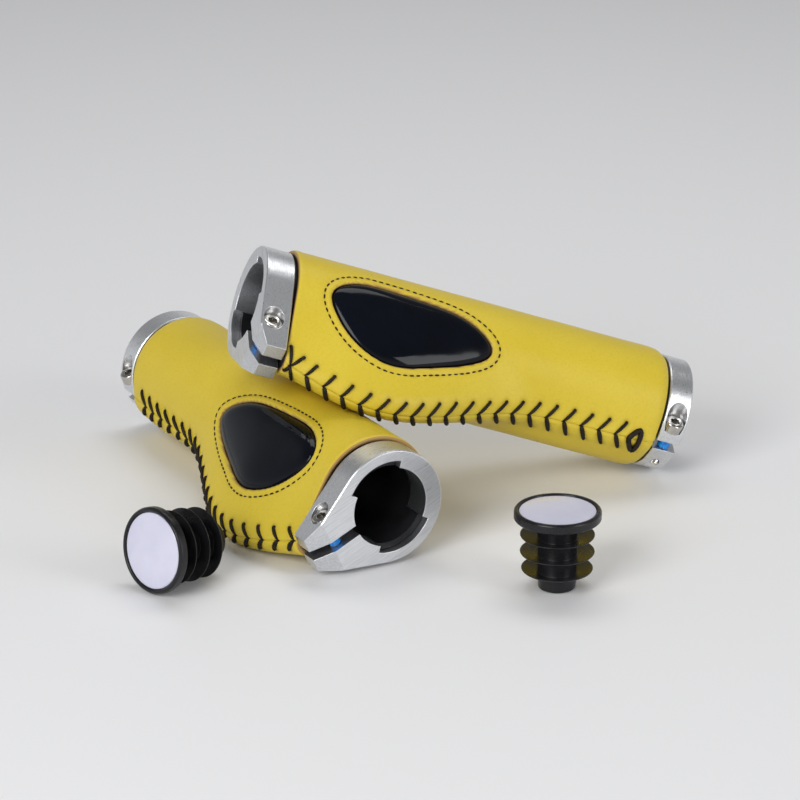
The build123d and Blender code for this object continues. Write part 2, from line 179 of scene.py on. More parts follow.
# how much of the lip is pressed flat under a stitch
LIP_PRESSED = 0.7
HOLE_DIMPLE = (-0.34, 0.0, math.sqrt(0.32))
HOLE_PUCKER = (-0.07, 0.0, math.sqrt(2.4))
WINDOW_ROLL = (-0.42, 0.0, 0.3)
WINDOW_PUFF = (0.28, 0.95, 0.6)
WINDOW_SEWN = (-0.26, RUNNING_MARGIN, 0.36)
END_PRESSED = (-0.22, 0.0, 0.3)
END_SWOLLEN = (0.08, 1.2, 0.7)
SKIN_WAVE = 0.05
SKIN_WAVES_PER_MM = 0.12
# colour marks as (depth, distance from the feature, width): the raw cut edge's tan, then painted shade in the
# seam, in and round the holes and along the window's sewn groove
RAW_CUT = (1.0, 0.0, 0.12)
SEAM_SHADE = (0.9, 0.0, math.sqrt(0.03))
HOLE_SHADE = (0.95, 0.0, math.sqrt(0.28))
HOLE_HALO = (0.12, 0.0, math.sqrt(1.6))
SEWN_SHADE = (0.22, RUNNING_MARGIN, 0.2)
# rows of points along the cover, and columns round it by distance from the seam
END_ROWS = np.array([0.0, 0.12, 0.3, 0.55])
FIRST_MIDDLE_ROW = 0.9
MIDDLE_ROWS = 196
SEAM_COLUMNS = np.array([
    0.0, 0.12, 0.25, 0.4, 0.6, 0.85, 1.15, 1.5, 1.9, 2.4, 3.0, 3.6, 4.3, 5.0, 5.8])
USUAL_HALF_GIRTH = 60.0
OTHER_COLUMNS = 77

# ---- the studio, in m and degrees ----
CAMERA_LENS = 180.0
CAMERA_PITCH = 20.94
# from the foot of the standing plug
CAMERA_PLACE = (-0.0418, -0.97895, 0.42798)
# each softbox is (name, place, aim, size, watts)
SOFTBOXES = [
    ("overhead_softbox", (0.05, 0.3, 0.75), (0, 0, 0.02), (0.7, 0.35), 2.2),
    ("front_softbox", (-0.45, -0.75, 0.55), (0, 0, 0.03), (0.5, 0.5), 5.8),
    ("right_softbox", (0.75, -0.5, 0.35), (0, 0, 0.03), (0.3, 0.6), 2.6),
]
# the world's strength at the horizon and overhead, and the height of a ray where overhead starts
WALL_GLOW = 0.85
CEILING_GLOW = 0.2
CEILING_STARTS = 0.55
FLOOR_REACH = 4.0

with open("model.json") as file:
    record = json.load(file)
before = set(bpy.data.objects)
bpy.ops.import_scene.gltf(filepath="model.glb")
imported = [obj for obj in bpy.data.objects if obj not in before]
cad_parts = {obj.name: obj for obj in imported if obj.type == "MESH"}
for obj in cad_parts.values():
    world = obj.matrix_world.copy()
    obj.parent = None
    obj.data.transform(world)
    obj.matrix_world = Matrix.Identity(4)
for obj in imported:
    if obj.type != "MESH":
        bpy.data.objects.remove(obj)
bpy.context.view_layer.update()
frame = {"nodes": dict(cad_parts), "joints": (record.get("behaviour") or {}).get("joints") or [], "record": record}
joints = {joint["name"]: joint for joint in frame["joints"]}
mounts = {mount["name"]: mount for mount in frame["record"]["mounts"]}


# ---- camera, lamps, floor ----
def add_object(name, data):
    made = bpy.data.objects.new(name, data)
    bpy.context.scene.collection.objects.link(made)
    return made


def place_camera():
    """A long lens that looks down on the set; the standing plug fixes where it stands."""
    low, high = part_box("standing_plug_body")
    foot = Vector(((low.x + high.x) / 2, (low.y + high.y) / 2, low.z))
    data = bpy.data.cameras.new("camera")
    data.lens = CAMERA_LENS
    data.sensor_width = 36.0
    data.clip_end = 20.0
    camera = add_object("camera", data)
    camera.location = foot + Vector(CAMERA_PLACE)
    camera.rotation_euler = (math.radians(90 - CAMERA_PITCH), 0.0, 0.0)
    bpy.context.scene.camera = camera


def light_the_set():
    """Three softboxes in a studio whose walls are pale and whose ceiling is dim."""
    for name, place, aim, size, watts in SOFTBOXES:
        data = bpy.data.lights.new(name, "AREA")
        data.shape = "RECTANGLE"
        data.size, data.size_y = size
        data.energy = watts
        lamp = add_object(name, data)
        lamp.location = place
        lamp.rotation_euler = (Vector(aim) - Vector(place)).to_track_quat("-Z", "Y").to_euler()
    world = bpy.data.worlds.new("studio")
    bpy.context.scene.world = world
    world.use_nodes = True
    tree = world.node_tree
    view = add_node(tree, "ShaderNodeTexCoord", "Generated")
    height = add_node(tree, "ShaderNodeSeparateXYZ", "Z", Vector=view)
    set_inputs(
        tree.nodes["Background"], Color=(0.98, 0.99, 1.0, 1.0),
        Strength=map_to(tree, height, WALL_GLOW, CEILING_GLOW, 0.0, CEILING_STARTS))
    bpy.context.scene.view_settings.view_transform = "Standard"


def lay_floor():
    """A wide sheet of pale paper."""
    mesh = bpy.data.meshes.new("floor")
    corners = [(-1, -1), (1, -1), (1, 1), (-1, 1)]
    points = [(x * FLOOR_REACH, y * FLOOR_REACH, 0) for x, y in corners]
    mesh.from_pydata(points, [], [(0, 1, 2, 3)])
    mesh.materials.append(new_material("floor_paper", (0.82, 0.82, 0.83), 0.6)[0])
    add_object("floor", mesh)


# ---- nodes ----
def feed(socket, value):
    """Links another socket to this input, or sets the input to a value."""
    if isinstance(value, bpy.types.NodeSocket):
        socket.id_data.links.new(value, socket)
    else:
        socket.default_value = value


def set_inputs(node, **inputs):
    """Feeds a node's inputs by name; _ in a name stands for a space."""
    for name, value in inputs.items():
        feed(node.inputs[name.replace("_", " ")], value)
    return node


def add_node(tree, kind, output, **inputs):
    """One output of a new node."""
    return set_inputs(tree.nodes.new(kind), **inputs).outputs[output]


def vector_node(tree, operation, first, second, kind="ShaderNodeVectorMath"):
    node = tree.nodes.new(kind)
    node.operation = operation
    feed(node.inputs[0], first)
    feed(node.inputs[1], second)
    return node.outputs


def math_node(tree, operation, first, second):
    return vector_node(tree, operation, first, second, "ShaderNodeMath")["Value"]


def weighted_sum(tree, first, first_weight, second, second_weight):
    return math_node(
        tree, "ADD",
        math_node(tree, "MULTIPLY", first, first_weight),
        math_node(tree, "MULTIPLY", second, second_weight))


def map_to(tree, value, low, high, from_low=0.0, from_high=1.0):
    return add_node(
        tree, "ShaderNodeMapRange", "Result", Value=value, From_Min=from_low,
        From_Max=from_high, To_Min=low, To_Max=high)


def mix_colors(tree, factor, first, second):
    """Between two colours; each is a socket or an (r, g, b, a)."""
    node = tree.nodes.new("ShaderNodeMix")
    node.data_type = "RGBA"
    return set_inputs(node, Factor=factor, A=first, B=second).outputs["Result"]


def fine_noise(tree, place, scale, detail=3.0, roughness=0.55):
    return add_node(
        tree, "ShaderNodeTexNoise", "Fac", Vector=place, Scale=scale, Detail=detail,
        Roughness=roughness)


def new_group(name, inputs, outputs, kind="ShaderNodeTree"):
    """A node group; its sockets are (name, kind) and for an input perhaps its value."""
    group = bpy.data.node_groups.new(name, kind)
    for way, sockets in (("INPUT", inputs), ("OUTPUT", outputs)):
        for socket, socket_kind, *value in sockets:
            made = group.interface.new_socket(
                socket, in_out=way, socket_type="NodeSocket" + socket_kind)
            if value:
                made.default_value = value[0]
    given = group.nodes.new("NodeGroupInput").outputs
    return group, given, group.nodes.new("NodeGroupOutput")


# ---- shader groups used by several finishes ----
def mottle_group():
    """Slow uneven change between two colours, with fine specks on top."""
    group, given, made = new_group(
        "mottle",
        [("Place", "Vector"), ("Light", "Color", (1, 1, 1, 1)),
         ("Dark", "Color", (0.5, 0.5, 0.5, 1)), ("Scale", "Float", 60.0),
         ("Specks", "Float", 1500.0)],
        [("Color", "Color"), ("Amount", "Float")])
    slow = fine_noise(group, given["Place"], given["Scale"], 4.0)
    specks = fine_noise(group, given["Place"], given["Specks"], 2.0)
    amount = map_to(group, weighted_sum(group, slow, 0.75, specks, 0.25), 0.0, 1.0, 0.36, 0.64)
    tone = mix_colors(group, amount, given["Dark"], given["Light"])
    set_inputs(made, Color=tone, Amount=amount)
    return group


def grain_group():
    """Leather grain: small rounded cells with creases between them, and fine pores."""
    group, given, made = new_group(
        "leather_grain",
        [("Place", "Vector"), ("Cells", "Float", 1500.0)],
        [("Height", "Float"), ("Crease", "Float")])
    place, scale = given["Place"], given["Cells"]
    cells = group.nodes.new("ShaderNodeTexVoronoi")
    cells.feature = "SMOOTH_F1"
    set_inputs(cells, Smoothness=0.5, Vector=place, Scale=scale)
    distance = cells.outputs["Distance"]
    pores = fine_noise(group, place, math_node(group, "MULTIPLY", scale, 2.2))
    rounded_cells = math_node(group, "SUBTRACT", 1.0, math_node(group, "POWER", distance, 2.0))
    height = weighted_sum(group, rounded_cells, 0.6, pores, 0.5)
    set_inputs(made, Height=height, Crease=distance)
    return group


def scratch_group():
    """Fine parallel tool marks: noise stretched along one axis of the place it is given."""
    group, given, made = new_group(
        "tool_marks",
        [("Place", "Vector"), ("Stretch", "Vector", (1.0, 1.0, 1.0))],
        [("Height", "Float")])
    stretch = vector_node(group, "MULTIPLY", given["Place"], given["Stretch"])["Vector"]
    set_inputs(made, Height=fine_noise(group, stretch, 1.0, 5.0, 0.7))
    return group


def edge_group():
    """Eased edges: the normal of a small rounding, and a mask of where it is, for a painted highlight."""
    group, given, made = new_group(
        "eased_edges",
        [("Radius", "Float", 0.0002)],
        [("Normal", "Vector"), ("Edge", "Float")])
    eased = add_node(group, "ShaderNodeBevel", "Normal", Radius=given["Radius"])
    eased.node.samples = 8
    face = add_node(group, "ShaderNodeNewGeometry", "Normal")
    facing = vector_node(group, "DOT_PRODUCT", face, eased)["Value"]
    set_inputs(made, Normal=eased, Edge=map_to(group, facing, 1.0, 0.0, 0.86, 0.995))
    return group


# ---- finishes ----
def new_material(name, color, roughness, metallic=0.0):
    material = bpy.data.materials.new(name)
    material.use_nodes = True
    tree = material.node_tree
    shader = tree.nodes["Principled BSDF"]
    set_inputs(shader, Base_Color=(*color, 1.0), Roughness=roughness, Metallic=metallic)
    return material, tree, shader


def object_place(tree):
    return add_node(tree, "ShaderNodeTexCoord", "Object")


def add_group(tree, group, **inputs):
    node = tree.nodes.new("ShaderNodeGroup")
    node.node_tree = group
    return set_inputs(node, **inputs).outputs


def add_mottle(tree, place, light, dark, scale, specks):
    """The mottle between two colours, each (r, g, b)."""
    return add_group(
        tree, mottle, Place=place, Light=(*light, 1.0), Dark=(*dark, 1.0), Scale=scale,
        Specks=specks)


def add_bump(tree, height, distance, strength, **under):
    return add_node(
        tree, "ShaderNodeBump", "Normal", Height=height, Distance=distance, Strength=strength,
        **under)


def attribute(tree, name):
    node = tree.nodes.new("ShaderNodeAttribute")
    node.attribute_name = name
    return node.outputs["Fac"]


def yellow_leather():
    """Smooth dyed leather; raw cut edges are tan, and seams and holes are darkened with painted shade."""
    material, tree, shader = new_material("yellow_leather", (0.68, 0.5, 0.02), 0.42)
    place = object_place(tree)
    hide = add_mottle(tree, place, (0.67, 0.51, 0.042), (0.62, 0.465, 0.032), 38.0, 1500.0)
    grain = add_group(tree, grain_cells, Place=place, Cells=1700.0)
    crease = map_to(tree, grain["Crease"], 0.0, 0.16, 0.45, 0.85)
    creased = mix_colors(tree, crease, hide["Color"], (0.46, 0.33, 0.015, 1.0))
    # painted shade: the shade attribute mixes seams, lace holes and the sewn groove towards dark brown
    with_painted_shade = mix_colors(tree, attribute(tree, "shade"), creased, (0.10, 0.05, 0.006, 1.0))
    soft = add_bump(tree, fine_noise(tree, place, 260.0), 0.00018, 0.25)
    set_inputs(
        shader,
        Base_Color=mix_colors(tree, attribute(tree, "cut"), with_painted_shade, (0.4, 0.24, 0.08, 1.0)),
        Roughness=map_to(tree, hide["Amount"], 0.38, 0.5),
        Normal=add_bump(tree, grain["Height"], 0.00007, 0.5, Normal=soft),
        Specular_IOR_Level=0.3)
    return material


def waxed_thread():
    """Brown-black thread with a dull wax on it."""
    material, tree, shader = new_material("waxed_thread", (0.02, 0.012, 0.008), 0.5)
    wax = add_mottle(
        tree, object_place(tree), (0.02, 0.011, 0.007), (0.005, 0.0035, 0.002), 900.0, 6000.0)
    set_inputs(
        shader, Base_Color=wax["Color"],
        Normal=add_bump(tree, wax["Amount"], 0.00006, 0.5), Specular_IOR_Level=0.25)
    return material


def gel():
    """Deep black, very smooth gel with a slow ripple in its skin."""
    material, tree, shader = new_material("gel", (0.002, 0.003, 0.006), 0.09)
    place = object_place(tree)
    haze = add_mottle(tree, place, (0.003, 0.0045, 0.009), (0.0012, 0.002, 0.004), 35.0, 2500.0)
    set_inputs(
        shader, Base_Color=haze["Color"],
        Roughness=map_to(tree, haze["Amount"], 0.07, 0.12),
        Normal=add_bump(tree, fine_noise(tree, place, 90.0, 2.0), 0.0004, 0.1),
        Specular_IOR_Level=0.19)
    return material


def moulded_black(name, scale, roughness):
    """Black moulded plastic or rubber with a fine texture from the mould."""
    material, tree, shader = new_material(name, (0.012, 0.012, 0.013), roughness)
    place = object_place(tree)
    skin = add_mottle(tree, place, (0.013, 0.013, 0.015), (0.006, 0.006, 0.007), 120.0, scale)
    set_inputs(
        shader, Base_Color=skin["Color"],
        Roughness=map_to(tree, skin["Amount"], roughness - 0.06, roughness + 0.08),
        Normal=add_bump(tree, fine_noise(tree, place, scale), 0.00005, 0.35),
        Specular_IOR_Level=0.35)
    return material


def clamp_metal(name, grip):
    """Turned and brushed aluminium with a painted highlight on its edges; the marks follow the clamp's own faces.
    """
    material, tree, shader = new_material(name, (0.8, 0.81, 0.83), 0.34, 1.0)
    own = grip.to_3x3()
    if is_mirrored(grip):
        own.col[1] = -own.col[1]
    turn = tree.nodes.new("ShaderNodeMapping")
    turn.vector_type = "TEXTURE"
    set_inputs(
        turn, Location=grip.to_translation() * MM, Rotation=own.to_euler(),
        Vector=object_place(tree))
    place = turn.outputs["Vector"]
    stretch = (90.0, 2600.0, 2600.0)
    marks = add_group(tree, tool_marks, Place=place, Stretch=stretch)["Height"]
    cloud = add_mottle(tree, place, (0.8, 0.81, 0.83), (0.73, 0.745, 0.77), 60.0, 3000.0)
    depth = map_to(tree, marks, 0.0, 0.8, 0.44, 0.66)
    streaked = mix_colors(tree, depth, cloud["Color"], (0.55, 0.565, 0.59, 1.0))
    edges = add_group(tree, eased_edges, Radius=0.00022)
    brushed = add_bump(tree, marks, 0.00006, 0.7, Normal=edges["Normal"])
    grit = fine_noise(tree, place, 3800.0, 4.0, 0.6)
    # painted highlight: the eased edges are mixed towards near-white
    set_inputs(
        shader,
        Base_Color=mix_colors(tree, edges["Edge"], streaked, (0.92, 0.925, 0.94, 1.0)),
        Roughness=map_to(tree, marks, 0.24, 0.42, 0.3, 0.7),
        Normal=add_bump(tree, grit, 0.00002, 0.2, Normal=brushed))
    return material


def bolt_steel():
    """Warm nickel-plated steel."""
    material, tree, shader = new_material("bolt_steel", (0.6, 0.58, 0.54), 0.16, 1.0)
    cloud = add_mottle(
        tree, object_place(tree), (0.62, 0.6, 0.56), (0.46, 0.44, 0.41), 500.0, 5000.0)
    set_inputs(
        shader, Base_Color=cloud["Color"],
        Roughness=map_to(tree, cloud["Amount"], 0.12, 0.22))
    return material


def thread_lock():
    """Blue compound dried on the bolt's thread."""
    material, tree, shader = new_material("thread_lock", (0.01, 0.12, 0.7), 0.35)
    flakes = add_mottle(
        tree, object_place(tree), (0.01, 0.34, 0.9), (0.003, 0.1, 0.5), 1500.0, 7000.0)
    set_inputs(
        shader, Base_Color=flakes["Color"],
        Normal=add_bump(tree, flakes["Amount"], 0.0001, 0.6))
    return material


def label_resin():
    """Pale lilac disc under clear resin."""
    material, tree, shader = new_material("label_resin", (0.62, 0.62, 0.76), 0.25)
    tone = add_mottle(
        tree, object_place(tree), (0.66, 0.66, 0.79), (0.58, 0.58, 0.72), 80.0, 4000.0)
    set_inputs(
        shader, Base_Color=tone["Color"], Coat_Weight=1.0, Coat_Roughness=0.05)
    return material


# ---- meshes ----
def new_piece(name, points, faces, material, flip=False):
    """A smooth mesh object from points in mm in the row frame, with its faces turned if asked."""
    mesh = bpy.data.meshes.new(name)
    if flip:
        faces = [tuple(reversed(face)) for face in faces]
    mesh.from_pydata((np.asarray(points) * MM).tolist(), [], faces)
    mesh.materials.append(material)
    mesh.update()
    mesh.polygons.foreach_set("use_smooth", [True] * len(mesh.polygons))
    return add_object(name, mesh)


def grid_faces(rows, columns, start=0):
    """Quads of a rows by columns grid of points whose last column joins the first."""
    faces = []
    for row in range(rows - 1):
        for column in range(columns):
            after = (column + 1) % columns
            here, there = start + row * columns, start + (row + 1) * columns
            faces.append((here + column, here + after, there + after, there + column))
    return faces


def outwards(piece):
    """Merges doubles and turns all faces outwards."""
    shape = bmesh.new()
    shape.from_mesh(piece.data)
    bmesh.ops.remove_doubles(shape, verts=shape.verts, dist=MERGE * MM)
    bmesh.ops.recalc_face_normals(shape, faces=shape.faces)
    shape.to_mesh(piece.data)
    shape.free()


def closed_piece(name, rings, axes, material):
    """A closed piece from rings of points in its own frame, with flat ends."""
    count, wide = len(rings), len(rings[0])
    ends = [tuple(range(wide - 1, -1, -1)), tuple(range((count - 1) * wide, count * wide))]
    points = placed(axes, np.vstack(rings))
    piece = new_piece(name, points, grid_faces(count, wide) + ends, material)
    outwards(piece)
    return piece


def apply_modifiers(piece):
    """Turns the piece's modifiers into plain mesh."""
    bpy.context.view_layer.update()
    graph = bpy.context.evaluated_depsgraph_get()
    made = bpy.data.meshes.new_from_object(piece.evaluated_get(graph))
    piece.modifiers.clear()
    piece.data = made


# ---- the grip's outer shape ----
def natural_spline(knots, values):
    """Second-order smooth curve through the knots, as a function of an array of places."""
    knots, values = np.array(knots, float), np.array(values, float)
    gap = np.diff(knots)
    count = len(knots)
    system, target = np.eye(count), np.zeros(count)
    for i in range(1, count - 1):
        system[i, i - 1:i + 2] = gap[i - 1], 2 * (gap[i - 1] + gap[i]), gap[i]
    target[1:-1] = 6 * np.diff(np.diff(values) / gap)
    bend = np.linalg.solve(system, target)

    def curve(at):
        at = np.clip(at, knots[0], knots[-1])
        i = np.clip(np.searchsorted(knots, at, side="right") - 1, 0, count - 2)
        left, right = at - knots[i], knots[i + 1] - at
        cubic = (bend[i] * right**3 + bend[i + 1] * left**3) / (6 * gap[i])
        return (cubic + (values[i] / gap[i] - bend[i] * gap[i] / 6) * right
                + (values[i + 1] / gap[i] - bend[i + 1] * gap[i] / 6) * left)

    return curve


def shape_curves():
    """Barrel radius, wing reach and wing-edge radius along the cover, as smooth curves."""
    first_distance, first_reach, first_edge = BARREL_STATIONS[0]
    rows = []
    for distance, drop in ROLLED_END:
        radius = BARREL - drop
        reach = radius + (first_reach - BARREL) * (0.5 + 0.5 * distance / first_distance)
        rows.append((COVER_START + distance, radius, reach, first_edge))
    rows += [(COVER_START + distance, BARREL, *sizes) for distance, *sizes in BARREL_STATIONS]
    rows += [(COVER_END - distance, BARREL, *sizes) for distance, *sizes in PALM_STATIONS]
    knots = [row[0] for row in rows]
    return [natural_spline(knots, [row[i] for row in rows]) for i in (1, 2, 3)]


barrel_at, reach_at, edge_at = shape_curves()


def section_numbers(along):
    """Barrel radius, edge radius, their distance, tangent angle, lengths of the tip and flank."""
    barrel, reach, edge = barrel_at(along), reach_at(along), edge_at(along)
    span = reach - edge
    tangent = np.arccos((barrel - edge) / span)
    return barrel, edge, span, tangent, edge * tangent, np.sqrt(span**2 - (barrel - edge) ** 2)


def half_girth(along):
    barrel, _, _, tangent, tip, flank = section_numbers(along)
    return tip + flank + barrel * (np.pi - tangent)


def on_cover(along, away, lift=0.0):
    """Point and outward normal on the cover: away is the distance round from the wing's edge,
    positive on the pad's side, and lift the height above the leather."""
    along, away = np.broadcast_arrays(np.asarray(along, float), np.asarray(away, float))
    barrel, edge, span, tangent, tip, flank = section_numbers(along)
    round_way = np.abs(away)
    side = np.where(away < 0, -1.0, 1.0)
    on_tip = np.minimum(round_way, tip) / edge
    on_flank = np.clip(round_way - tip, 0, flank)
    on_back = np.maximum(round_way - tip - flank, 0) / barrel
    angle = np.where(on_back > 0, tangent + on_back, np.minimum(on_tip, tangent))
    normal = np.stack([np.cos(angle), side * np.sin(angle), np.zeros_like(angle)], -1)
    centre = np.where(on_back > 0, 0.0, span)
    radius = np.where(on_back > 0, barrel, edge)
    slide = np.where(on_back > 0, 0.0, on_flank)
    reach = centre + radius * np.cos(angle) - slide * np.sin(angle)
    rise = radius * np.sin(angle) + slide * np.cos(angle)
    point = np.stack([reach, side * rise, along], -1) + normal * np.asarray(lift, float)[..., None]
    return point, normal


def lengths_along(points):
    """Distance along a path of points to each of them."""
    return np.concatenate([[0], np.cumsum(np.hypot(*np.diff(points, axis=0).T))])


def periodic_outline(points, count, margin=0.0):
    """Closed smooth outline through the points, moved out by margin, as evenly spaced points."""
    knots = np.array(points, float)
    total = len(knots)
    padded = np.vstack([knots[-4:], knots, knots[:5]])
    chord = lengths_along(padded)
    start, end = chord[4], chord[4 + total]
    curves = [natural_spline(chord, padded[:, i]) for i in (0, 1)]
    fine = np.linspace(start, end, 1201)
    track = np.stack([curves[0](fine), curves[1](fine)], -1)
    step = np.gradient(track, axis=0)
    normal = np.stack([-step[:, 1], step[:, 0]], -1)
    normal /= np.linalg.norm(normal, axis=1)[:, None]
    if np.sum(normal * (track - track.mean(0))) < 0:
        normal = -normal
    moved = track + normal * margin
    length = lengths_along(moved)
    even = np.linspace(0, length[-1], count, endpoint=False)
    return np.stack([np.interp(even, length, values) for values in moved.T], -1)


def in_pad_plane(points):
    """Distance from the cover's outer end and height across the pad's face, of points."""
    across = points[..., 0] * PAD_RISE - points[..., 1] * PAD_REACH
    return np.stack([COVER_END - points[..., 2], across], -1)


def over_pad_plane(points):
    """Height of points over the pad's plane, which runs through the bar's centre line."""
    return points[..., 0] * PAD_REACH + points[..., 1] * PAD_RISE


def from_pad_plane(flat, height):
    """Points at a height over places of the pad's plane."""
    along, across = COVER_END - flat[..., 0], flat[..., 1]
    return np.stack(
        [across * PAD_RISE + height * PAD_REACH, height * PAD_RISE - across * PAD_REACH, along], -1)


def cover_height(flat, lift=0.0):
    """Height of the cover's surface over the pad's plane at points of that plane."""
    along = COVER_END - flat[..., 0]
    limit = half_girth(along)
    low, high = np.zeros_like(along), limit.copy()
    for _ in range(40):
        middle = (low + high) / 2
        point, _ = on_cover(along, middle, lift)
        beyond = in_pad_plane(point)[..., 1] < flat[..., 1]
        high = np.where(beyond, middle, high)
        low = np.where(beyond, low, middle)
    return over_pad_plane(on_cover(along, (low + high) / 2, lift)[0])


def gap_to_outline(flat, outline):
    """Signed distance of points from a closed outline, negative inside it."""
    ends = np.roll(outline, -1, axis=0)
    best = np.full(len(flat), 1e9)
    inside = np.zeros(len(flat), bool)
    for start, end in zip(outline, ends):
        run = end - start
        share = np.clip(((flat - start) @ run) / (run @ run), 0, 1)
        gap = np.hypot(*(flat - start - share[:, None] * run).T)
        best = np.minimum(best, gap)
        crosses = (start[1] > flat[:, 1]) != (end[1] > flat[:, 1])
        with np.errstate(divide="ignore", invalid="ignore"):
            at = start[0] + (flat[:, 1] - start[1]) * run[0] / run[1]
        inside ^= crosses & (flat[:, 0] < at)
    return np.where(inside, -best, best)


def window_gap(points, outline):
    """Distance of points of a grip from its pad's window; FAR on the side without the pad."""
    gap = gap_to_outline(in_pad_plane(points), outline)
    return np.where(over_pad_plane(points) > 0, gap, FAR)


# ---- where each grip lies ----
def axes_along(first, second, third, origin):
    """Matrix with these directions and this origin."""
    axes = Matrix((first, second, third)).transposed().to_4x4()
    axes.translation = origin
    return axes


def grip_axes(side):
    """Matrix from a grip's own reach, rise and along, in mm, to the row frame in mm."""
    along = Vector(joints[side + "_outer_clamp_slide"]["axis"]).normalized()
    turn = joints[side + "_outer_clamp_bolt_turn"]
    rise = Vector(turn["axis"]).normalized()
    middle = Vector(mounts[side + "_inner_clamp_bore"]["pos_m"]) / MM
    origin = middle - along * INNER_CLAMP_WIDTH / 2
    to_bolt = Vector(turn["pos_m"]) / MM - origin
    reach = (to_bolt - along * to_bolt.dot(along)).normalized()
    return axes_along(reach, rise, along, origin)


def placed(axes, points):
    """Points from a grip's own frame to the row frame, still in mm."""
    turn, origin = np.array(axes.to_3x3()), np.array(axes.translation)
    return np.asarray(points, float).reshape(-1, 3) @ turn.T + origin


def is_mirrored(axes):
    return axes.to_3x3().determinant() < 0


# ---- lacing along the wing edge ----
def seam_at(side, along):
    """How far round from the wing's edge the seam runs, at places along the cover."""
    distances, rounds = zip(*SEAM_TRACK[side])
    return natural_spline(distances, rounds)(COVER_END - np.asarray(along, float))


def lace_places(side):
    """Where each step of the lacing leaves the seam, from the outer end to the inner end."""
    first, last = LACE_SPAN[side]
    return COVER_END - np.linspace(first, last, LACE_STEPS[side] + 1)


def lace_stitches(side):
    """The straight stitches, as (place on the seam, distance round, distance inwards, radius)."""
    stitches = []
    for step, place in enumerate(lace_places(side)):
        wander = STITCH_WANDER * math.sin(WANDER_TURN * step)
        far, inwards = LONG_STITCH[side]
        stitches.append((place, far + wander, inwards - wander, LONG_RADIUS))
        far, inwards = SHORT_STITCH[side]
        stitches.append((place - SHORT_OFFSET, far - wander, inwards, SHORT_RADIUS))
    if side == "left":
        knot = COVER_END - KNOT_INSET
        stitches += [(knot, far, inwards, LONG_RADIUS) for far, inwards in KNOT_STITCHES]
    return stitches


def stitch_path(side, place, far, inwards):
    """A thread that comes up in the seam, lies on the leather and goes down its hole."""
    away = seam_at(side, place) + far * STITCH_SHARES
    return on_cover(place - inwards * STITCH_SHARES, away, STITCH_LIFTS)[0]


def end_loop(side):
    """The closed teardrop of thread at the inner end."""
    steps, rounds = periodic_outline(LOOP, 40).T
    along = COVER_END - LOOP_PLACE - np.append(steps, steps[0])
    away = seam_at(side, along) + np.append(rounds, rounds[0])
    return on_cover(along, away, LOOP_LIFT)[0]


def lacing(side):
    """Paths of all the threads and the thickness of each thread at its points."""
    paths, girths = [], []
    for place, far, inwards, radius in lace_stitches(side):
        paths.append(stitch_path(side, place, far, inwards))
        girths.append(radius * (LONG_SHAPE if far > 0 else SHORT_SHAPE))
    if side == "left":
        paths.append(end_loop(side))
        girths.append(np.full(len(paths[-1]), LOOP_RADIUS))
    return paths, girths


def lace_holes(side):
    """Places (along, away) where the lacing goes through the leather."""
    return [
        (place - inwards, seam_at(side, place) + far)
        for place, far, inwards, _ in lace_stitches(side)
    ]


# ---- geometry trees for what repeats ----
def thread_tree():
    """Turns edges into twisted thread as thick as their girth."""
    tree, given, made = new_group(
        "twisted_thread",
        [("Paths", "Geometry"), ("Lay", "Float"),
         ("Finish", "Material")],
        [("Thread", "Geometry")], "GeometryNodeTree")
    even = tree.nodes.new("GeometryNodeResampleCurve")
    even.mode = "LENGTH"
    line = add_node(tree, "GeometryNodeMeshToCurve", "Curve", Mesh=given["Paths"])
    set_inputs(even, Curve=line, Length=THREAD_STEP * MM)
    run = add_node(tree, "GeometryNodeSplineParameter", "Length")
    turns = math_node(tree, "DIVIDE", run, given["Lay"])
    twist = add_node(
        tree, "GeometryNodeSetCurveTilt", "Curve", Curve=even.outputs["Curve"],
        Tilt=math_node(tree, "MULTIPLY", turns, 2 * math.pi))
    girth = add_node(tree, "GeometryNodeInputNamedAttribute", "Attribute", Name="girth")
    plies = add_node(
        tree, "GeometryNodeCurveStar", "Curve", Points=4, Inner_Radius=PLY_HOLLOW,
        Outer_Radius=1.0)
    tube = add_node(
        tree, "GeometryNodeCurveToMesh", "Mesh", Curve=twist, Profile_Curve=plies, Scale=girth,
        Fill_Caps=True)
    finish_tree(tree, tube, given, made)
    return tree


def dash_tree():
    """Sets dashes of thread along edges."""
    tree, given, made = new_group(
        "running_stitch",
        [("Line", "Geometry"), ("Pitch", "Float"),
         ("Dash", "Float"), ("Radius", "Float"),
         ("Finish", "Material")],
        [("Stitches", "Geometry")], "GeometryNodeTree")
    places = tree.nodes.new("GeometryNodeCurveToPoints")
    places.mode = "LENGTH"
    line = add_node(tree, "GeometryNodeMeshToCurve", "Curve", Mesh=given["Line"])
    set_inputs(places, Curve=line, Length=given["Pitch"])
    dash = add_node(tree, "GeometryNodeMeshUVSphere", "Mesh", Segments=8, Rings=7, Radius=1.0)
    half = math_node(tree, "MULTIPLY", given["Dash"], 0.5)
    size = add_node(
        tree, "ShaderNodeCombineXYZ", "Vector", X=given["Radius"], Y=given["Radius"], Z=half)
    shaped = add_node(tree, "GeometryNodeTransform", "Geometry", Geometry=dash, Scale=size)
    sewn = add_node(
        tree, "GeometryNodeInstanceOnPoints", "Instances", Points=places.outputs["Points"],
        Instance=shaped, Rotation=places.outputs["Rotation"])
    finish_tree(tree, sewn, given, made)
    return tree


def finish_tree(tree, geometry, given, made):
    """Realised instances, smooth faces and the finish, at the end of a geometry tree."""
    real = add_node(tree, "GeometryNodeRealizeInstances", "Geometry", Geometry=geometry)
    smooth = add_node(tree, "GeometryNodeSetShadeSmooth", "Geometry", Geometry=real)
    finish = add_node(
        tree, "GeometryNodeSetMaterial", "Geometry", Geometry=smooth, Material=given["Finish"])
    feed(made.inputs[0], finish)


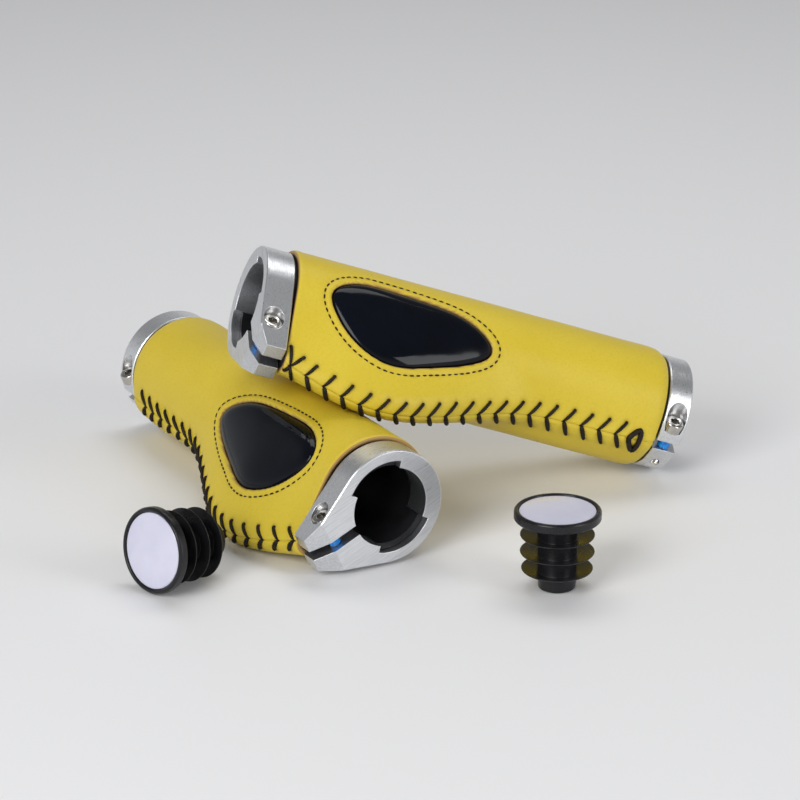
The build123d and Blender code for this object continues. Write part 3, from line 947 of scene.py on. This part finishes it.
def grown(name, paths, closed, tree, girths=None, **inputs):
    """A mesh made by a geometry tree from paths of points in mm, with a thickness at each point."""
    edges, start = [], 0
    for path in paths:
        places = range(start, start + len(path))
        edges += zip(places, places[1:])
        if closed:
            edges.append((places[-1], start))
        start += len(path)
    mesh = bpy.data.meshes.new(name)
    mesh.from_pydata((np.vstack(paths) * MM).tolist(), edges, [])
    if girths:
        girth = mesh.attributes.new("girth", "FLOAT", "POINT")
        girth.data.foreach_set("value", np.concatenate(girths).astype(np.float32) * MM)
    piece = add_object(name, mesh)
    grow = piece.modifiers.new("grow", "NODES")
    grow.node_group = tree
    for item in tree.interface.items_tree:
        if item.in_out == "INPUT" and item.name in inputs:
            grow[item.identifier] = inputs[item.name]
    apply_modifiers(piece)
    return piece


# ---- leather cover ----
def cover_rows():
    """Distances along the cover, closer together where the leather rolls over an edge."""
    length = COVER_END - COVER_START
    middle = np.linspace(FIRST_MIDDLE_ROW, length - FIRST_MIDDLE_ROW, MIDDLE_ROWS)
    return COVER_START + np.concatenate([END_ROWS, middle, length - END_ROWS[::-1]])


def cover_columns():
    """Shares of the half girth from the seam, close together beside it."""
    beside = SEAM_COLUMNS / USUAL_HALF_GIRTH
    half = np.concatenate([beside, np.linspace(beside[-1], 1.0, OTHER_COLUMNS + 1)[1:]])
    return np.concatenate([half, -half[-2:0:-1]])


def swell(distance, height, place, width):
    """A soft ridge at a place; a groove where the height is negative."""
    return height * np.exp(-(((distance - place) / width) ** 2))


def seam_relief(side, along, away):
    """Height in mm added beside the lacing: a groove with soft lips, and puckers at the holes."""
    gap = np.abs(away - seam_at(side, along))
    places = lace_places(side)
    pull = 0.5 + 0.5 * np.cos(2 * np.pi * (along - places[0]) / (places[0] - places[1]))
    relief = swell(gap, *SEAM_GROOVE) + swell(gap, *SEAM_LIP) * (1 - LIP_PRESSED * pull)
    for hole_along, hole_away in lace_holes(side):
        near = np.hypot(along - hole_along, away - hole_away)
        relief += swell(near, *HOLE_DIMPLE) + swell(near, *HOLE_PUCKER)
    return relief


def window_relief(gap):
    """Height in mm added round the pad's window, by distance from its edge."""
    edge = np.maximum(gap, 0)
    return swell(edge, *WINDOW_ROLL) + swell(edge, *WINDOW_PUFF) + swell(edge, *WINDOW_SEWN)


def end_relief(along):
    """The outer end is cut and pressed square; the inner end is rolled under by the cover's shape, not here."""
    outer = COVER_END - along
    return swell(outer, *END_PRESSED) + swell(outer, *END_SWOLLEN)


def leather_cover(side, axes):
    rows, columns = cover_rows(), cover_columns()
    count, wide = len(rows), len(columns)
    along, shares = np.repeat(rows, wide), np.tile(columns, count)
    away = shares * half_girth(along) + seam_at(side, along) * (1 - np.abs(shares))
    outline = periodic_outline(PAD_OUTLINE, PAD_POINTS, WINDOW_GAP)
    skin, normals = on_cover(along, away)
    relief = seam_relief(side, along, away) + end_relief(along)
    relief += window_relief(window_gap(skin, outline))
    waves = [noise.noise(Vector(point) * SKIN_WAVES_PER_MM) for point in skin]
    relief += SKIN_WAVE * np.array(waves)
    outside = skin + normals * relief[:, None]
    inside = skin - normals * LEATHER
    faces = grid_faces(count, wide)
    total = count * wide
    faces += [tuple(reversed(face)) for face in grid_faces(count, wide, total)]
    last = (count - 1) * wide
    for column in range(wide):
        after = (column + 1) % wide
        faces.append((after, column, total + column, total + after))
        faces.append((last + column, last + after, total + last + after, total + last + column))
    points = placed(axes, np.vstack([outside, inside]))
    cover = new_piece(side + "_sewn_leather", points, faces, leather, is_mirrored(axes))
    cut_window(cover, axes, outline)
    mark_leather(side, cover, axes, outline)
    return cover


def cut_window(cover, axes, outline):
    """Cuts the pad's window through the leather."""
    rings = [from_pad_plane(outline, height) for height in CUTTER_HEIGHTS]
    cutter = closed_piece("window_cutter", rings, axes, leather)
    cut = cover.modifiers.new("window", "BOOLEAN")
    cut.operation = "DIFFERENCE"
    cut.solver = "EXACT"
    cut.object = cutter
    apply_modifiers(cover)
    bpy.data.objects.remove(cutter)


def mark_leather(side, cover, axes, outline):
    """Attributes that the leather's finish reads: raw cut edges, and painted shade in seams, in and round the lace
    holes and along the window's sewn groove.
    """
    mesh = cover.data
    places = np.zeros(len(mesh.vertices) * 3)
    mesh.vertices.foreach_get("co", places)
    turn, origin = np.array(axes.to_3x3()), np.array(axes.translation)
    own = (places.reshape(-1, 3) / MM - origin) @ turn
    along, gap = own[:, 2], window_gap(own, outline)
    cut = swell(gap, *RAW_CUT) + swell(COVER_END - along, *RAW_CUT)
    # painted shade along the seam, in and round each hole and along the sewn groove
    seam = on_cover(along, seam_at(side, along))[0]
    shade = swell(np.linalg.norm(own - seam, axis=1), *SEAM_SHADE)
    for hole_along, hole_away in lace_holes(side):
        near = np.linalg.norm(own - on_cover(hole_along, hole_away)[0], axis=1)
        shade += swell(near, *HOLE_SHADE) + swell(near, *HOLE_HALO)
    shade += swell(gap, *SEWN_SHADE)
    for name, values in (("cut", cut), ("shade", shade)):
        mark = mesh.attributes.new(name, "FLOAT", "POINT")
        mark.data.foreach_set("value", np.clip(values, 0, 1).astype(np.float32))


# ---- gel pad ----
def gel_dome(side, axes):
    """Glossy pad: a rounded rim that turns over into a shallow crown."""
    outline = periodic_outline(PAD_OUTLINE, PAD_POINTS)
    centre = outline.mean(0)
    rings = [from_pad_plane(outline, cover_height(outline) - PAD_DEPTH)]
    for share in PAD_SHARES:
        flat = centre + (outline - centre) * share
        inwards = np.linalg.norm(outline - flat, axis=1)
        rise = PAD_RIM * (1 - np.exp(-inwards / PAD_ROLL)) + PAD_CROWN * (1 - share**2) - PAD_SINK
        rings.append(from_pad_plane(flat, cover_height(flat) + rise))
    middle = centre[None]
    rings.append(from_pad_plane(middle, cover_height(middle) + PAD_RIM + PAD_CROWN - PAD_SINK))
    wide = len(outline)
    last, top = (len(rings) - 2) * wide, (len(rings) - 1) * wide
    faces = grid_faces(len(rings) - 1, wide)
    faces += [(last + i, last + (i + 1) % wide, top) for i in range(wide)]
    faces.append(tuple(range(wide - 1, -1, -1)))
    points = placed(axes, np.vstack(rings))
    dome = new_piece(side + "_gel_dome", points, faces, gel_finish, is_mirrored(axes))
    outwards(dome)
    return dome


def window_stitches(side, axes):
    """Running stitch round the window."""
    outline = periodic_outline(PAD_OUTLINE, RUNNING_POINTS, WINDOW_GAP + RUNNING_MARGIN)
    path = from_pad_plane(outline, cover_height(outline, -RUNNING_SINK))
    return grown(
        side + "_running_stitches", [placed(axes, path)], True, running_stitch,
        Pitch=RUNNING_PITCH * MM, Dash=RUNNING_DASH * MM, Radius=RUNNING_RADIUS * MM,
        Finish=thread_finish)


def seam_lace(side, axes):
    paths, girths = lacing(side)
    return grown(
        side + "_waxed_lace", [placed(axes, path) for path in paths], False, twisted_thread,
        girths, Lay=THREAD_LAY * MM, Finish=thread_finish)


# ---- turned pieces: bolts, plugs, labels ----
def turn_angles(steps):
    return np.linspace(0, 2 * np.pi, steps, endpoint=False)


def ring(radius, height, angles):
    """Points round the third direction; the radius is one number or one for each angle."""
    level = np.full_like(angles, height)
    return np.stack([radius * np.cos(angles), radius * np.sin(angles), level], -1)


def turned(name, profile, axes, material, steps=72):
    """Turns a profile of (radius, height) in mm round the axes' third direction."""
    rings = [ring(radius, height, turn_angles(steps)) for radius, height in profile]
    return closed_piece(name, rings, axes, material)


def rounded(profile, radius=0.18, steps=4):
    """The profile with each inner corner replaced by a small arc."""
    points = [np.array(point, float) for point in profile]
    track = [points[0]]
    for before, corner, after in zip(points, points[1:], points[2:]):
        into, out = before - corner, after - corner
        reach = min(radius, 0.45 * np.linalg.norm(into), 0.45 * np.linalg.norm(out))
        start = corner + into / np.linalg.norm(into) * reach
        end = corner + out / np.linalg.norm(out) * reach
        for share in np.linspace(0, 1, steps):
            rest = 1 - share
            track.append(rest**2 * start + 2 * share * rest * corner + share**2 * end)
    track.append(points[-1])
    return track


def bolt_axes(grip, clamp):
    """Axes of a clamp's bolt in the row frame; the third direction runs to its head."""
    up, out, side = grip.to_3x3().col
    return axes_along(up, side, out, Vector(joints[clamp + "_bolt_turn"]["pos_m"]) / MM)


def pinch_bolt(name, axes, seat):
    """Cap-head bolt with a ring of fine grips on its head, a hex socket and a real thread."""
    angles = turn_angles(BOLT_SIDES)
    rings = []

    def add_ring(radius, height):
        rings.append(ring(radius, height, angles))

    for height in np.arange(-BOLT_LENGTH, 0, BOLT_PITCH / THREAD_STEPS):
        lead = (height / BOLT_PITCH - angles / (2 * np.pi)) % 1.0
        depth = THREAD_DEPTH * min(
            1.0, -height / THREAD_RUN_OUT, (height + BOLT_LENGTH + TIP_START) / BOLT_PITCH)
        add_ring(BOLT_RADIUS - depth * np.abs(2 * lead - 1), seat + height)
    top = seat + BOLT_HEAD_HEIGHT
    add_ring(BOLT_NECK, seat)
    chamfer_height, chamfer = HEAD_CHAMFER
    add_ring(BOLT_HEAD_RADIUS - chamfer, seat)
    grips = HEAD_GRIP * np.sign(np.sin(HEAD_GRIPS * angles))
    for height in (seat + chamfer_height, top - GRIPS_DROP):
        add_ring(BOLT_HEAD_RADIUS + grips, height)
    for drop, inset in HEAD_ROUNDING:
        add_ring(BOLT_HEAD_RADIUS - inset, top - drop)
    flats = BOLT_SOCKET / np.cos((angles % (np.pi / 3)) - np.pi / 6)
    for drop, share in SOCKET_STEPS:
        add_ring(flats * share, top - drop)
    bolt = closed_piece(name, rings, axes, bolt_finish)
    bolt.data.set_sharp_from_angle(angle=math.radians(SHARP_ANGLE))
    return bolt


def plug_axes(name):
    """Axes of a plug from its own shoulder mount: the third direction runs to the label."""
    shoulder = mounts[name + "_plug_shoulder"]
    out = -Vector(shoulder["axis"]).normalized()
    low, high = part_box(name + "_plug_label")
    middle = (low + high) / 2 / MM
    side = out.orthogonal().normalized()
    seat = Vector(shoulder["pos_m"]) / MM
    foot = middle - out * (middle - seat).dot(out)
    return axes_along(side, out.cross(side), out, foot - out * SHOULDER)


def steps_from(radius, height, steps):
    return [(radius + out, height + up) for out, up in steps]


def bar_plug(name, axes):
    """Plug with a rimmed head, a stem and three thin sealing fins that lean back."""
    profile = steps_from(STEM_RADIUS, 0.0, STEM_FOOT)
    for lip, radius in PLUG_FINS:
        profile += steps_from(STEM_RADIUS, lip, FIN_UNDERSIDE)
        profile += steps_from(radius, lip, FIN_EDGE)
        profile += steps_from(STEM_RADIUS, lip, FIN_TOP)
    profile += steps_from(STEM_RADIUS, SHOULDER, STEM_TOP)
    profile += steps_from(PLUG_HEAD_RADIUS, SHOULDER, HEAD_UNDERSIDE)
    profile += steps_from(PLUG_HEAD_RADIUS, PLUG_LENGTH, HEAD_RIM)
    profile += steps_from(RECESS_RADIUS, PLUG_LENGTH, RECESS_LIP)
    profile += steps_from(RECESS_RADIUS, PLUG_LENGTH - LABEL_RECESS, RECESS_FLOOR)
    return turned(name + "_finned_plug", rounded(profile), axes, plug_finish)


def resin_label(name, axes):
    """Bare domed label in the plug's recess."""
    base = PLUG_LENGTH - LABEL_RECESS
    profile = steps_from(LABEL_RADIUS, base, LABEL_EDGE)
    for radius in DOME_RADII:
        profile.append((radius, base + LABEL_CROWN - LABEL_DROP * (radius / DROP_RADIUS) ** 2))
    return turned(name + "_resin_label", profile, axes, label_finish, 96)


# ---- the set ----
def dress_grip(side):
    axes = grip_axes(side)
    metal = clamp_metal(side + "_clamp_metal", axes)
    body = side + "_grip"
    pieces = {
        "leather_cover": (leather_cover(side, axes), "yellow_leather"),
        "seam_lacing": (seam_lace(side, axes), "waxed_thread"),
        "window_stitching": (window_stitches(side, axes), "waxed_thread"),
        "gel_pad": (gel_dome(side, axes), "gel"),
    }
    for node, (piece, slot) in pieces.items():
        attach(piece, body)
        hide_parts(f"{side}_{node}")
    for end, seat in HEAD_SEATS.items():
        clamp = f"{side}_{end}_clamp"
        bolt = pinch_bolt(f"{side}_{end}_cap_bolt", bolt_axes(axes, clamp), seat)
        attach(bolt, clamp + "_bolt")
        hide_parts(clamp + "_bolt")
        finish_node(clamp, metal)
        finish_node(f"{side}_{end}_bolt_patch", patch_finish)
    finish_node(side + "_core_sleeve", sleeve_finish)
    finish_node(side + "_palm_body", rubber_finish)


def finish_node(node, material):
    mesh = frame["nodes"][node].data
    mesh.materials.clear()
    mesh.materials.append(material)


def dress_plug(name):
    axes = plug_axes(name)
    pieces = {
        "body": (bar_plug(name, axes), "plug_plastic"),
        "label": (resin_label(name, axes), "label"),
    }
    for node, (piece, slot) in pieces.items():
        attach(piece, name + "_plug")
        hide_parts(f"{name}_plug_{node}")


mottle = mottle_group()
grain_cells = grain_group()
tool_marks = scratch_group()
eased_edges = edge_group()
twisted_thread = thread_tree()
running_stitch = dash_tree()
leather = yellow_leather()
thread_finish = waxed_thread()
gel_finish = gel()
sleeve_finish = moulded_black("sleeve_plastic", 2200.0, 0.42)
rubber_finish = moulded_black("palm_rubber", 1400.0, 0.6)
plug_finish = moulded_black("plug_plastic", 2600.0, 0.3)
bolt_finish = bolt_steel()
patch_finish = thread_lock()
label_finish = label_resin()

place_camera()
light_the_set()
lay_floor()
for grip_side in ("right", "left"):
    dress_grip(grip_side)
for plug_name in ("lying", "standing"):
    dress_plug(plug_name)
